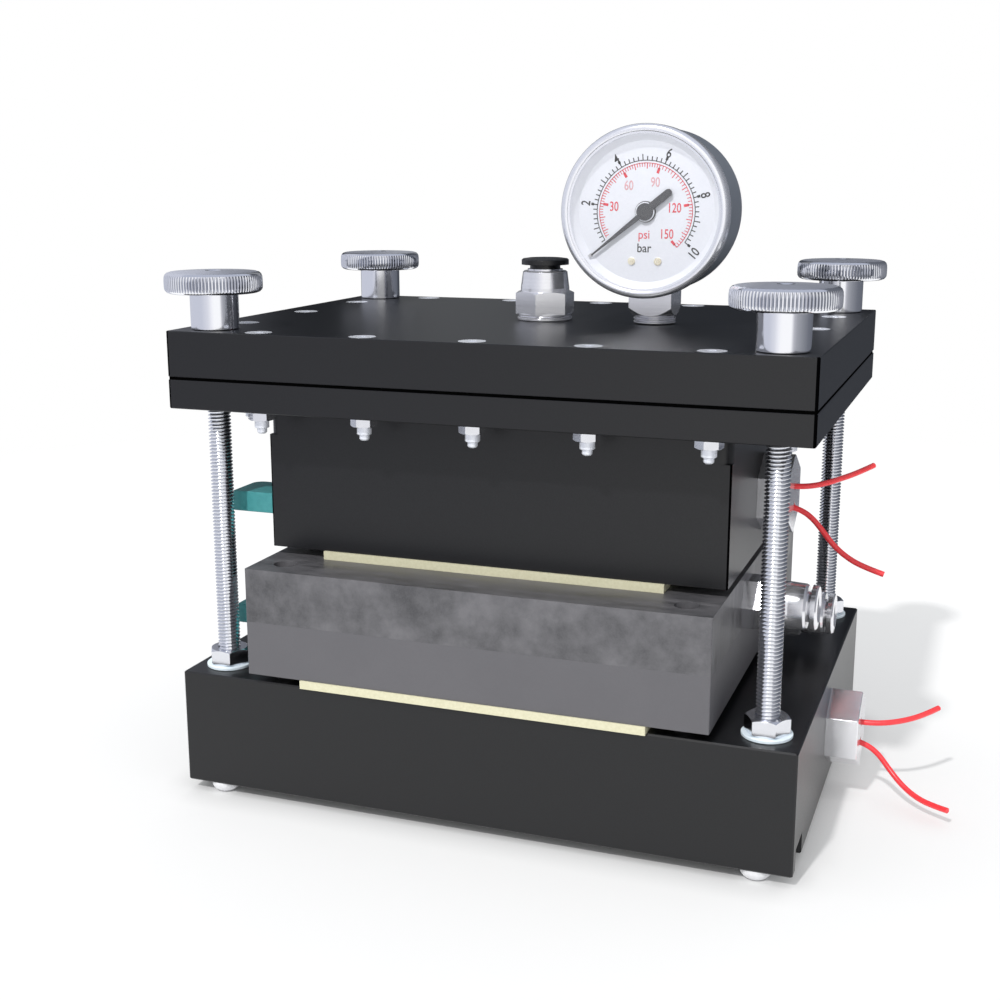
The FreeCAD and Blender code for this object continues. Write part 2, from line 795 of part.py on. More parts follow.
def wire(points, bend_radii):
    """A round wire of straight runs joined by arcs that touch them."""
    edges = []
    start = points[0]
    for k in range(1, len(points) - 1):
        before = (points[k] - points[k - 1]).normalize()
        after = (points[k + 1] - points[k]).normalize()
        turn = before.getAngle(after)
        setback = bend_radii[k - 1] * math.tan(turn / 2)
        arc_start = points[k] - before * setback
        arc_end = points[k] + after * setback
        inward = (after - before).normalize()
        middle = points[k] + inward * (bend_radii[k - 1] / math.cos(turn / 2) - bend_radii[k - 1])
        edges.append(Part.makeLine(start, arc_start))
        edges.append(Part.Arc(arc_start, middle, arc_end).toShape())
        start = arc_end
    edges.append(Part.makeLine(start, points[-1]))
    path = Part.Wire(edges)
    ring = Part.Wire(Part.makeCircle(wire_radius, points[0], points[1] - points[0]))
    return path, path.makePipeShell([ring], True, True)


def wire_run(name, points):
    """Builds one wire and prints its bends, its length and its volume against section times length."""
    radii = []
    for k in range(1, len(points) - 1):
        before, after = points[k] - points[k - 1], points[k + 1] - points[k]
        half_turn = before.getAngle(after) / 2
        radii.append(0.45 * min(before.Length, after.Length) / math.tan(half_turn))
    path, tube = wire(points, radii)
    length = path.Length
    share = tube.Volume / (math.pi * wire_radius**2 * length)
    print(name, "bends", [round(r, 1) for r in radii], "length", round(length, 1), "volume share", round(share, 4))
    return tube


def wire_pair(side, plug_z, upper_steps, lower_steps):
    """The corner points of a plug's two wires, from steps (out, back, up) counted from each wire's seat."""
    seat = side + plug_length - wire_depth_in_plug
    upper, lower = wire_heights(plug_z)
    upper_points = [vec(seat + out, back, upper + up) for out, back, up in upper_steps]
    lower_points = [vec(seat + out, back, lower + up) for out, back, up in lower_steps]
    return upper_points, lower_points


def base_wires():
    upper_steps = [(0, 0, 0), (5.5, 0, 0), (12.0, 1.6, 0.5), (18.3, 6.0, 1.0), (23.6, 12.0, 1.6), (27.5, 18.0, 2.2)]
    lower_steps = [(0, 0, 0), (4.4, -0.1, -1.1), (8.7, -0.9, -3.9), (12.6, -2.8, -8.0), (16.9, -5.8, -11.7)]
    lower_steps += [(21.9, -9.5, -14.1), (27.6, -13.4, -15.0), (34.0, -17.6, -14.4)]
    upper, lower = wire_pair(base_width / 2, base_bottom + plug_height_in_base, upper_steps, lower_steps)
    return {"base_wire_upper": upper, "base_wire_lower": lower}


def block_wires():
    upper_steps = [(0, 0, 0), (4.6, 0, 0), (10.6, 2.4, 0.7), (16.6, 8.2, 2.1), (22.0, 14.3, 3.5), (26.8, 21.0, 5.3)]
    lower_steps = [(0, 0, 0), (4.4, -0.1, -1.1), (8.7, -0.2, -3.9), (12.4, -0.3, -8.2), (16.0, -0.4, -12.7)]
    lower_steps += [(20.6, -0.6, -16.6), (26.6, -1.0, -19.7), (34.3, -1.1, -21.9)]
    upper, lower = wire_pair(block_width / 2, block_bottom + plug_height_in_block, upper_steps, lower_steps)
    return {"block_wire_upper": upper, "block_wire_lower": lower}


os.makedirs("parts", exist_ok=True)

save(base_block(), "base_block")
half_x, half_y = foot_spacing_x / 2, foot_spacing_y / 2
save_group([moved(foot(), vec(sx * half_x, sy * half_y, 0)) for sx, sy in corners], "feet")
save_group([tie_rod(x, y) for x, y in rod_places.values()], "tie_rods")
save_group([rod_washer(x, y) for x, y in rod_places.values()], "rod_washers")
save_group([rod_nut(x, y) for x, y in rod_places.values()], "rod_nuts")
save(centred(lower_pad_width, lower_pad_depth, base_top, cell_bottom), "lower_pad")
half = locator_spacing / 2
save_group([locating_bush(sx * half, sy * half) for sx, sy in corners], "locating_bushes")
front_centre, rear_centre = flow_fitting_centres()
save(flow_plate(cell_bottom, cell_joint, rear_centre), "lower_flow_plate")
save(upper_flow_plate(front_centre), "upper_flow_plate")
save(centred(upper_pad_size, upper_pad_size, cell_top, block_bottom), "upper_pad")
save(terminal_tab(-cell_size / 2, cell_tab_front, cell_bottom + lower_tab_above_cell_foot), "cell_tab")
save(heater_plug(base_width / 2, base_bottom + plug_height_in_base), "base_heater_plug")
save(flow_fitting(front_centre), "flow_fitting_front")
save(flow_fitting(rear_centre), "flow_fitting_rear")
save(flow_release_collar(front_centre), "flow_collar_front")
save(flow_release_collar(rear_centre), "flow_collar_rear")

save(lower_plate(), "lower_plate")
save(membrane(), "membrane")
save(upper_plate(), "upper_plate")
save_group([plate_screw(x, y) for x, y in screw_places], "plate_screws")
save_group([screw_nut(x, y) for x, y in screw_places], "plate_nuts")
for name, (x, y) in rod_places.items():
    save(knob(x, y), "knob_" + name)

save(press_block(), "press_block")
save(terminal_tab(-block_width / 2, block_tab_front, block_bottom + upper_tab_above_block_foot), "block_tab")
save(heater_plug(block_width / 2, block_bottom + plug_height_in_block), "block_heater_plug")

save(air_fitting_body(), "air_fitting_body")
save(air_release_collar(), "air_collar")
save(gauge_stem(), "gauge_stem")
save(gauge_case(), "gauge_case")
save(gauge_bezel(), "gauge_bezel")
save(gauge_glass(), "gauge_glass")
save(gauge_dial(), "gauge_dial")
save_group([dial_screw(place) for place in dial_screw_places()], "gauge_dial_screws")
save(gauge_pointer(), "gauge_pointer")

for name, points in {**base_wires(), **block_wires()}.items():
    save(wire_run(name, points), name)
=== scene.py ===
"""The looks of a heated battery test cell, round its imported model. Metres, in the model's own frame."""

import json
import math

import bpy
from mathutils import Matrix, Vector


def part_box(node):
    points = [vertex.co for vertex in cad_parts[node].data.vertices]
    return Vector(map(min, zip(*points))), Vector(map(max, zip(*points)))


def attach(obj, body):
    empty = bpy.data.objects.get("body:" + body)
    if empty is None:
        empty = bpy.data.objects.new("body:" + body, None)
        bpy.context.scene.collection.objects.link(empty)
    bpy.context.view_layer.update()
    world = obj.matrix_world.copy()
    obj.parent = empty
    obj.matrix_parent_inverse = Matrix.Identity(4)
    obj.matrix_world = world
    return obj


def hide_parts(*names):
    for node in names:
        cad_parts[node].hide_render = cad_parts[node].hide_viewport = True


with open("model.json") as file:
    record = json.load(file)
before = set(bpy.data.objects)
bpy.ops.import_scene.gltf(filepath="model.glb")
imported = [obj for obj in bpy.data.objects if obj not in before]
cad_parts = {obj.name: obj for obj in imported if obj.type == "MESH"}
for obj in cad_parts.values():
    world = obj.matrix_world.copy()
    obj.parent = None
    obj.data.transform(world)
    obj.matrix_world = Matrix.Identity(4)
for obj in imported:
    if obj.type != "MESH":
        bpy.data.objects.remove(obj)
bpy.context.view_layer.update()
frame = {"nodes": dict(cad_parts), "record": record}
nodes = frame["nodes"]

mm = 0.001
full_turn = 2 * math.pi


# The camera and the wires


def place_camera():
    """A camera at the photograph's distance, angle and focal length."""
    lens = bpy.data.cameras.new("front_right_view")
    lens.lens = 50.846
    lens.sensor_width = 36.0
    lens.shift_x = 0.00877
    lens.shift_y = -0.00756
    lens.clip_start = 0.01
    lens.clip_end = 100.0
    right = Vector((0.93675, 0.35000, -0.00213))
    up = Vector((-0.07444, 0.20517, 0.97589))
    back = right.cross(up)
    eye = Vector((0.161559, -0.497213, 0.220798))
    camera = bpy.data.objects.new("front_right_view", lens)
    camera.matrix_world = Matrix.Translation(eye) @ Matrix((right, up, back)).transposed().to_4x4()
    bpy.context.scene.collection.objects.link(camera)
    bpy.context.scene.camera = camera


wire_diameter = 2.0 * mm


def red_wire(name, body, start, steps):
    """A short stiff lead on one smooth line, its points in millimetres from where it is seated."""
    line = bpy.data.curves.new(name, "CURVE")
    line.dimensions = "3D"
    line.bevel_depth = 1.0
    line.bevel_resolution = 5
    line.resolution_u = 16
    line.use_fill_caps = True
    spline = line.splines.new("NURBS")
    spline.points.add(len(steps) - 1)
    for point, step in zip(spline.points, steps):
        point.co = (*(Vector(start) + Vector(step) * mm), 1.0)
        point.radius = wire_diameter / 2
    spline.order_u = 3
    spline.use_endpoint_u = True
    wire = bpy.data.objects.new(name, line)
    bpy.context.scene.collection.objects.link(wire)
    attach(wire, body)
    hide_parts(name)
    return wire


def lay_wires():
    wire_depth = 2.0 * mm
    above_axis = 2.6 * mm
    below_axis = 4.6 * mm
    plugs = {}
    for plug in ("base_heater_plug", "block_heater_plug"):
        low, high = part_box(plug)
        plugs[plug] = Vector((high.x - wire_depth, 0, (low.z + high.z) / 2))
    upper = Vector((0, 0, above_axis))
    lower = Vector((0, 0, -below_axis))
    base, block = plugs["base_heater_plug"], plugs["block_heater_plug"]
    routes = [
        ("base_wire_upper", "base_assembly", base + upper, 35.0 * mm,
         [(0, 0, 0), (5.5, 0, 0), (12.0, 1.6, 0.5), (18.3, 6.0, 1.0), (23.6, 12.0, 1.6), (27.5, 18.0, 2.2)]),
        ("base_wire_lower", "base_assembly", base + lower, 43.3 * mm,
         [(0, 0, 0), (4.4, -0.1, -1.1), (8.7, -0.9, -3.9), (12.6, -2.8, -8.0), (16.9, -5.8, -11.7),
          (21.9, -9.5, -14.1), (27.6, -13.4, -15.0), (34.0, -17.6, -14.4)]),
        ("block_wire_upper", "press_block", block + upper, 36.1 * mm,
         [(0, 0, 0), (4.6, 0, 0), (10.6, 2.4, 0.7), (16.6, 8.2, 2.1), (22.0, 14.3, 3.5), (26.8, 21.0, 5.3)]),
        ("block_wire_lower", "press_block", block + lower, 41.8 * mm,
         [(0, 0, 0), (4.4, -0.1, -1.1), (8.7, -0.2, -3.9), (12.4, -0.3, -8.2), (16.0, -0.4, -12.7),
          (20.6, -0.6, -16.6), (26.6, -1.0, -19.7), (34.3, -1.1, -21.9)]),
    ]
    return [red_wire(name, body, start, steps) for name, body, start, length, steps in routes]


place_camera()
wires = lay_wires()


# Shaping by hand: small helpers round the operators

merge_gap = 1e-6


def only(obj):
    """Makes obj the one selected and active object."""
    bpy.ops.object.select_all(action="DESELECT")
    obj.select_set(True)
    bpy.context.view_layer.objects.active = obj


def named(name):
    obj = bpy.context.object
    obj.name = name
    obj.data.name = name
    return obj


def settle(obj):
    """Puts obj's place, turn and size into its mesh."""
    only(obj)
    bpy.ops.object.transform_apply(location=True, rotation=True, scale=True)
    return obj


def duplicate(obj, name):
    only(obj)
    bpy.ops.object.duplicate(linked=False)
    return named(name)


def join(objects, name):
    only(objects[0])
    for obj in objects:
        obj.select_set(True)
    if len(objects) > 1:
        bpy.ops.object.join()
    return named(name)


def close_up(obj):
    """Merges doubles, closes open rims and points the faces outwards."""
    only(obj)
    bpy.ops.object.mode_set(mode="EDIT")
    bpy.ops.mesh.select_all(action="SELECT")
    bpy.ops.mesh.remove_doubles(threshold=merge_gap)
    bpy.ops.mesh.select_all(action="DESELECT")
    bpy.ops.mesh.select_mode(type="EDGE")
    bpy.ops.mesh.select_non_manifold(extend=False, use_wire=False, use_multi_face=False, use_verts=False)
    bpy.ops.mesh.edge_face_add()
    bpy.ops.mesh.select_all(action="SELECT")
    bpy.ops.mesh.normals_make_consistent(inside=False)
    bpy.ops.mesh.select_all(action="DESELECT")
    bpy.ops.mesh.select_mode(type="VERT")
    bpy.ops.object.mode_set(mode="OBJECT")
    return obj


def smooth(obj, angle):
    only(obj)
    bpy.ops.object.shade_smooth_by_angle(angle=math.radians(angle))
    return obj


def drawn_line(name, points):
    """A line drawn from point to point by extruding one vertex."""
    bpy.ops.object.select_all(action="DESELECT")
    bpy.ops.mesh.primitive_plane_add(size=mm, location=(0, 0, 0))
    line = named(name)
    bpy.ops.object.mode_set(mode="EDIT")
    bpy.ops.mesh.select_all(action="SELECT")
    bpy.ops.mesh.merge(type="CENTER")
    bpy.ops.transform.translate(value=points[0])
    for before, after in zip(points, points[1:]):
        step = Vector(after) - Vector(before)
        bpy.ops.mesh.extrude_region_move(TRANSFORM_OT_translate={"value": step})
    bpy.ops.object.mode_set(mode="OBJECT")
    return line


def swept(line, turns, steps, rise=0.0):
    """Sweeps a drawn line round Z, turns times, rising by rise in each turn."""
    only(line)
    bpy.ops.object.modifier_add(type="SCREW")
    sweep = line.modifiers[-1]
    sweep.axis = "Z"
    sweep.angle = full_turn
    sweep.screw_offset = rise
    sweep.iterations = turns
    sweep.steps = steps
    sweep.render_steps = steps
    sweep.use_merge_vertices = True
    sweep.merge_threshold = merge_gap
    bpy.ops.object.modifier_apply(modifier=sweep.name)
    return line


def lathe(name, profile, steps):
    """A turned piece from (radius, height) corners in millimetres."""
    line = drawn_line(name, [(radius * mm, 0, height * mm) for radius, height in profile])
    return close_up(swept(line, 1, steps))


def carry(obj, body, slot, *stands_for):
    """Rides obj on a body and hides the parts it stands for."""
    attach(obj, body)
    if stands_for:
        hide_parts(*stands_for)


# Materials


def group(name, inputs):
    """A new shader node group with named inputs and one output, all plain numbers."""
    tree = bpy.data.node_groups.new(name, "ShaderNodeTree")
    for label, value in inputs.items():
        socket = tree.interface.new_socket(name=label, in_out="INPUT", socket_type="NodeSocketFloat")
        socket.default_value = value
    tree.interface.new_socket(name="Value", in_out="OUTPUT", socket_type="NodeSocketFloat")
    entry = tree.nodes.new("NodeGroupInput")
    result = tree.nodes.new("NodeGroupOutput")
    return tree, entry, result


def add_node(tree, kind, **settings):
    node = tree.nodes.new(kind)
    for label, value in settings.items():
        setattr(node, label, value)
    return node


def feed(tree, value, socket):
    """Gives a shader input what it takes: another node's output, a colour or a plain number."""
    if isinstance(value, bpy.types.NodeSocket):
        tree.links.new(value, socket)
    elif isinstance(value, tuple):
        socket.default_value = (*value, 1.0)
    else:
        socket.default_value = value


def reckoned(tree, operation, *values):
    """The outcome of one sum on outputs or plain numbers."""
    node = add_node(tree, "ShaderNodeMath", operation=operation)
    for value, socket in zip(values, node.inputs):
        feed(tree, value, socket)
    return node.outputs[0]


def own_place(tree):
    return add_node(tree, "ShaderNodeTexCoord").outputs["Object"]


def own_axes(tree):
    """The object's own X, Y and Z, one output each."""
    axes = add_node(tree, "ShaderNodeSeparateXYZ")
    tree.links.new(own_place(tree), axes.inputs[0])
    return axes.outputs


def mixed(tree, share, first, second, ending="Material Output"):
    """Sends a mix of two shaders to the material's or the world's output."""
    mix = add_node(tree, "ShaderNodeMixShader")
    for value, socket in zip((share, first, second), mix.inputs):
        tree.links.new(value, socket)
    tree.links.new(mix.outputs["Shader"], tree.nodes[ending].inputs["Surface"])


def noise(tree, vector, scale, detail, roughness=0.5):
    node = add_node(tree, "ShaderNodeTexNoise")
    for label, value in (("Vector", vector), ("Scale", scale), ("Detail", detail), ("Roughness", roughness)):
        feed(tree, value, node.inputs[label])
    return node.outputs["Fac"]


def ranged(tree, value, low, high, to_low, to_high):
    """value brought from low..high to to_low..to_high, clamped."""
    node = add_node(tree, "ShaderNodeMapRange")
    labels = ("Value", "From Min", "From Max", "To Min", "To Max")
    for label, amount in zip(labels, (value, low, high, to_low, to_high)):
        feed(tree, amount, node.inputs[label])
    return node.outputs["Result"]


def stretched(tree, entry):
    """The object's own coordinates, each multiplied by its input."""
    stretch = add_node(tree, "ShaderNodeCombineXYZ")
    for label, socket in zip("XYZ", ("Across X", "Across Y", "Across Z")):
        tree.links.new(entry.outputs[socket], stretch.inputs[label])
    scaled = add_node(tree, "ShaderNodeVectorMath", operation="MULTIPLY")
    tree.links.new(own_place(tree), scaled.inputs[0])
    tree.links.new(stretch.outputs["Vector"], scaled.inputs[1])
    return scaled.outputs["Vector"]


def grain_group():
    """Fine even grain: a value from 0 to 1 over the surface."""
    tree, entry, result = group("even_grain", {"Scale": 900.0})
    value = noise(tree, own_place(tree), entry.outputs["Scale"], 2.0)
    tree.links.new(ranged(tree, value, 0.3, 0.7, 0.0, 1.0), result.inputs["Value"])
    return tree


def cloud_group():
    """Soft clouds with small ones in them, drawn out along X, Y or Z: a value from 0 to 1."""
    inputs = {"Across X": 60.0, "Across Y": 60.0, "Across Z": 60.0, "Contrast": 0.2}
    tree, entry, result = group("soft_clouds", inputs)
    value = noise(tree, stretched(tree, entry), 1.0, 6.0, 0.64)
    contrast = entry.outputs["Contrast"]
    low = reckoned(tree, "SUBTRACT", 0.5, contrast)
    high = reckoned(tree, "ADD", 0.5, contrast)
    tree.links.new(ranged(tree, value, low, high, 0.0, 1.0), result.inputs["Value"])
    return tree


def line_group():
    """Tool marks: noise drawn out along X, Y or Z by its own stretch, a value from 0 to 1."""
    inputs = {"Across X": 200.0, "Across Y": 200.0, "Across Z": 200.0}
    tree, entry, result = group("tool_marks", inputs)
    value = noise(tree, stretched(tree, entry), 1.0, 3.0)
    tree.links.new(ranged(tree, value, 0.3, 0.7, 0.0, 1.0), result.inputs["Value"])
    return tree


even_grain = grain_group()
soft_clouds = cloud_group()
tool_marks = line_group()
soft_edge = 0.15 * mm


class Finish:
    """A material in the making: one Principled shader and what feeds it."""

    def __init__(self, name, metallic=0.0, roughness=0.5, ior=1.5):
        self.material = bpy.data.materials.new(name)
        self.material.use_nodes = True
        self.tree = self.material.node_tree
        self.shader = self.tree.nodes["Principled BSDF"]
        self.shader.inputs["Metallic"].default_value = metallic
        self.shader.inputs["Roughness"].default_value = roughness
        self.shader.inputs["IOR"].default_value = ior

    def place(self, tree, **values):
        node = add_node(self.tree, "ShaderNodeGroup")
        node.node_tree = tree
        for label, value in values.items():
            node.inputs[label.replace("_", " ")].default_value = value
        return node.outputs["Value"]

    def blend(self, factor, first, second):
        """A colour from first to second by factor. Either may be a colour or a socket."""
        node = add_node(self.tree, "ShaderNodeMix", data_type="RGBA")
        self.tree.links.new(factor, node.inputs["Factor"])
        feed(self.tree, first, node.inputs[6])
        feed(self.tree, second, node.inputs[7])
        return node.outputs[2]

    def colour(self, value):
        feed(self.tree, value, self.shader.inputs["Base Color"])

    def roughness(self, factor, low, high):
        self.tree.links.new(ranged(self.tree, factor, 0.0, 1.0, low, high), self.shader.inputs["Roughness"])

    def bump(self, height, strength, distance, round_edges=0.0):
        node = add_node(self.tree, "ShaderNodeBump")
        node.inputs["Strength"].default_value = strength
        node.inputs["Distance"].default_value = distance
        self.tree.links.new(height, node.inputs["Height"])
        if round_edges:
            rounded = add_node(self.tree, "ShaderNodeBevel", samples=4)
            rounded.inputs["Radius"].default_value = round_edges
            self.tree.links.new(rounded.outputs["Normal"], node.inputs["Normal"])
        self.tree.links.new(node.outputs["Normal"], self.shader.inputs["Normal"])

    def open_to_light(self, share):
        """Lets a share of the lamps' and the soft light through to what lies behind."""
        tree = self.tree
        rays = add_node(tree, "ShaderNodeLightPath").outputs
        either = reckoned(tree, "MAXIMUM", rays["Is Shadow Ray"], rays["Is Diffuse Ray"])
        part = reckoned(tree, "MULTIPLY", either, share)
        clear = add_node(tree, "ShaderNodeBsdfTransparent")
        mixed(tree, part, self.shader.outputs["BSDF"], clear.outputs["BSDF"])


def metal_with_painted_groove_shade(name, light, dark):
    """A polished metal, duller on flat tops and painted darker where its groove shade attribute says so:
    painted shade in grooves and thread roots.
    """
    finish = Finish(name, metallic=1.0)
    tree = finish.tree
    painted_groove_shade = add_node(tree, "ShaderNodeAttribute", attribute_name="painted_groove_shade").outputs["Fac"]
    finish.colour(finish.blend(painted_groove_shade, light, dark))
    facing = add_node(tree, "ShaderNodeSeparateXYZ")
    tree.links.new(add_node(tree, "ShaderNodeNewGeometry").outputs["Normal"], facing.inputs[0])
    dulled = ranged(tree, facing.outputs["Z"], 0.9, 0.99, 0.12, 0.42)
    tree.links.new(dulled, finish.shader.inputs["Roughness"])
    return finish.material


def metal(name, dark, light, rough_low, rough_high, marks, bump_strength=0.1, bare=1.0):
    """A metal with tool marks in its colour, polish and surface, milkier the less bare it is."""
    finish = Finish(name, metallic=bare)
    lines = finish.place(tool_marks, **marks)
    finish.colour(finish.blend(lines, dark, light))
    finish.roughness(lines, rough_low, rough_high)
    finish.bump(lines, bump_strength, 0.01 * mm, soft_edge)
    return finish.material


def anodised_black(name, painted_shade_mask=None):
    """Black anodising. Where the painted shade mask, made in the finish's own tree, is 1, it is painted near
    black and mirrors nothing: painted shade.
    """
    finish = Finish(name, ior=1.48)
    grain = finish.place(even_grain, Scale=2600.0)
    shade = finish.blend(grain, (0.0040, 0.0041, 0.0050), (0.0075, 0.0077, 0.0092))
    if painted_shade_mask:
        # Painted shade: near black and no mirroring where the mask is 1.
        mask = painted_shade_mask(finish.tree)
        shade = finish.blend(mask, shade, (0.0012, 0.0012, 0.0014))
        mirrored = ranged(finish.tree, mask, 0.0, 1.0, 0.5, 0.0)
        finish.tree.links.new(mirrored, finish.shader.inputs["Specular IOR Level"])
    finish.colour(shade)
    finish.roughness(grain, 0.31, 0.36)
    finish.bump(grain, 0.05, 0.02 * mm)
    return finish.material


def near(tree, axis, centre, reach):
    """1 where the object's own coordinate along axis lies within reach of centre."""
    return reckoned(tree, "COMPARE", own_axes(tree)[axis], centre, reach)


def standing_corners(tree, node, across, along):
    """1 down a block's standing corners, as far across its front and along its side as is said."""
    low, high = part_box(node)
    off_sides = near(tree, "X", (low.x + high.x) / 2, (high.x - low.x) / 2 - across)
    off_ends = near(tree, "Y", (low.y + high.y) / 2, (high.y - low.y) / 2 - along)
    inside = reckoned(tree, "MAXIMUM", off_sides, off_ends)
    return ranged(tree, inside, 0.0, 1.0, 1.0, 0.0)


def seam_and_corner_shade(tree):
    """1 along the seam between the two plates and down their standing corners, where shade is painted."""
    seam_half = 0.5 * mm
    low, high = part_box("membrane")
    corners = standing_corners(tree, "lower_plate", 0.9 * mm, 1.2 * mm)
    return reckoned(tree, "MAXIMUM", corners, near(tree, "Z", (low.z + high.z) / 2, seam_half))


def block_corner_shade(tree):
    """1 down the press block's standing corners, where shade is painted."""
    return standing_corners(tree, "press_block", 0.6 * mm, 0.9 * mm)


def graphite(name, dark, light, clouds, rough_low, rough_high):
    """Graphite with soft patches from dark to light, and fine dull specks."""
    finish = Finish(name)
    patches = finish.place(soft_clouds, **clouds)
    grain = finish.place(even_grain, Scale=1700.0)
    speck = reckoned(finish.tree, "MULTIPLY", grain, 0.3)
    shade = finish.blend(patches, dark, light)
    finish.colour(finish.blend(speck, shade, tuple(0.8 * channel for channel in light)))
    finish.roughness(patches, rough_low, rough_high)
    finish.bump(grain, 0.2, 0.05 * mm, 0.2 * mm)
    return finish.material


def plain_sheet(name, dark, light, rough_low, rough_high, scale, bump, metallic=0.0, shine=0.5):
    """A plain even material with a little grain, from dark to light."""
    finish = Finish(name, metallic=metallic)
    finish.shader.inputs["Specular IOR Level"].default_value = shine
    grain = finish.place(even_grain, Scale=scale)
    finish.colour(finish.blend(grain, dark, light))
    finish.roughness(grain, rough_low, rough_high)
    finish.bump(grain, bump, 0.05 * mm, soft_edge)
    return finish.material


def clear_glass():
    finish = Finish("clear_glass", roughness=0.0, ior=1.45)
    finish.colour((1.0, 1.0, 1.0))
    finish.shader.inputs["Transmission Weight"].default_value = 1.0
    finish.open_to_light(1.0)
    return finish.material


def bezel_metal():
    """Bright steel that hardly shades the dial behind it."""
    finish = Finish("bezel_steel", metallic=0.8, roughness=0.2)
    finish.colour((0.9, 0.91, 0.96))
    finish.open_to_light(0.8)
    return finish.material


even_marks = {"Across_X": 400.0, "Across_Y": 400.0, "Across_Z": 400.0}
ring_marks = {"Across_X": 30.0, "Across_Y": 30.0, "Across_Z": 2500.0}
case_marks = {"Across_X": 60.0, "Across_Y": 1800.0, "Across_Z": 60.0}
smooth_clouds = {"Across_X": 25.0, "Across_Y": 90.0, "Across_Z": 25.0, "Contrast": 0.35}
mottled_clouds = {"Across_X": 75.0, "Across_Y": 260.0, "Across_Z": 75.0, "Contrast": 0.16}

finishes = {
    "black_anodised": anodised_black("anodised_black"),
    # The plates and the press block get painted shade along the seam and down their standing corners.
    "black_plates": anodised_black("anodised_black_plates_painted_shade", seam_and_corner_shade),
    "black_press_block": anodised_black("anodised_black_press_block_painted_shade", block_corner_shade),
    "graphite_smooth": graphite(
        "smooth_graphite", (0.1, 0.098, 0.107), (0.126, 0.123, 0.133), smooth_clouds, 0.42, 0.5),
    "graphite_mottled": graphite(
        "mottled_graphite", (0.055, 0.055, 0.06), (0.148, 0.145, 0.155), mottled_clouds, 0.3, 0.5),
    "pad_sheet": plain_sheet("yellow_sheet", (0.64, 0.61, 0.42), (0.7, 0.67, 0.48), 0.5, 0.7, 1200.0, 0.1),
    "teal_plastic": plain_sheet(
        "teal_plastic", (0.042, 0.26, 0.27), (0.055, 0.3, 0.31), 0.35, 0.5, 700.0, 0.05),
    "foot_plastic": plain_sheet("pale_foot", (0.72, 0.72, 0.74), (0.8, 0.8, 0.82), 0.3, 0.45, 800.0, 0.05),
    "membrane_rubber": plain_sheet(
        "black_sheet", (0.001, 0.001, 0.001), (0.0015, 0.0015, 0.0015), 0.6, 0.8, 900.0, 0.1, shine=0.0),
    "dark_steel": plain_sheet(
        "blackened_steel", (0.01, 0.01, 0.011), (0.03, 0.03, 0.032), 0.35, 0.5, 900.0, 0.1),
    "black_plastic": plain_sheet(
        "black_plastic", (0.006, 0.006, 0.007), (0.012, 0.012, 0.014), 0.25, 0.4, 900.0, 0.05),
    "red_wire": plain_sheet(
        "red_insulation", (0.97, 0.05, 0.06), (1.0, 0.062, 0.072), 0.28, 0.36, 900.0, 0.05),
    "dial_white": plain_sheet("dial_white", (0.75, 0.765, 0.83), (0.77, 0.785, 0.85), 0.4, 0.5, 900.0, 0.0),
    "pointer_black": plain_sheet(
        "pointer_grey", (0.05, 0.052, 0.06), (0.06, 0.062, 0.07), 0.4, 0.5, 900.0, 0.0),
    "plated_steel": metal("plated_steel", (0.76, 0.77, 0.81), (0.8, 0.81, 0.85), 0.16, 0.2, even_marks, 0.0),
    "screw_heads": plain_sheet(
        "bright_screw_heads", (0.76, 0.78, 0.84), (0.84, 0.86, 0.92), 0.22, 0.28, 300.0, 0.0, 0.35),
    "zinc_steel": plain_sheet("zinc_washer", (0.8, 0.9, 0.97), (0.84, 0.94, 1.0), 0.4, 0.5, 700.0, 0.05),
    "plug_metal": metal(
        "plug_metal", (0.9, 0.9, 0.93), (0.93, 0.93, 0.96), 0.16, 0.2, even_marks, 0.0, bare=0.78),
    "fitting_metal": metal(
        "plated_fitting", (0.86, 0.86, 0.9), (0.92, 0.92, 0.95), 0.16, 0.22, ring_marks, 0.02, bare=0.85),
    # The dark colours are painted shade in the knurl's grooves and the threads' roots.
    "knob_metal": metal_with_painted_groove_shade("polished_aluminium", (0.93, 0.94, 0.98), (0.3, 0.32, 0.38)),
    "rod_metal": metal_with_painted_groove_shade("threaded_steel", (0.93, 0.94, 0.98), (0.66, 0.68, 0.73)),
    "case_steel": metal(
        "case_steel", (0.17, 0.19, 0.23), (0.25, 0.275, 0.32), 0.28, 0.4, case_marks, 0.1, bare=0.3),
    "bezel_metal": bezel_metal(),
    "brass_screw": metal("brass_screw", (0.66, 0.6, 0.46), (0.88, 0.84, 0.72), 0.2, 0.35, even_marks),
    "clear_glass": clear_glass(),
    "dial_black": plain_sheet(
        "dial_print_black", (0.005, 0.005, 0.006), (0.008, 0.008, 0.009), 0.5, 0.6, 900.0, 0.0),
    "dial_red": plain_sheet("dial_print_red", (0.7, 0.035, 0.06), (0.76, 0.05, 0.08), 0.5, 0.6, 900.0, 0.0),
    "dial_faded": plain_sheet(
        "dial_print_faded_red", (0.72, 0.36, 0.4), (0.74, 0.4, 0.44), 0.5, 0.6, 900.0, 0.0),
    "dial_grey": plain_sheet("dial_print_grey", (0.5, 0.5, 0.53), (0.58, 0.58, 0.61), 0.5, 0.6, 900.0, 0.0),
}


def paint(obj, finish):
    obj.data.materials.clear()
    obj.data.materials.append(finishes[finish])


for entry in frame["record"]["subparts"]:
    paint(nodes[entry["node"]], entry["material_slot"])
for wire in wires:
    paint(wire, "red_wire")
paint(nodes["plate_screws"], "screw_heads")
for plate in ("lower_plate", "upper_plate"):
    paint(nodes[plate], "black_plates")
paint(nodes["press_block"], "black_press_block")


# Threaded tie rods, their thread in millimetres

thread_pitch = 1.25
thread_crest = 4.0
thread_root = 3.22
head_travel = 10 * mm
plain_foot = 4 * mm
plate_overlap = 2 * mm


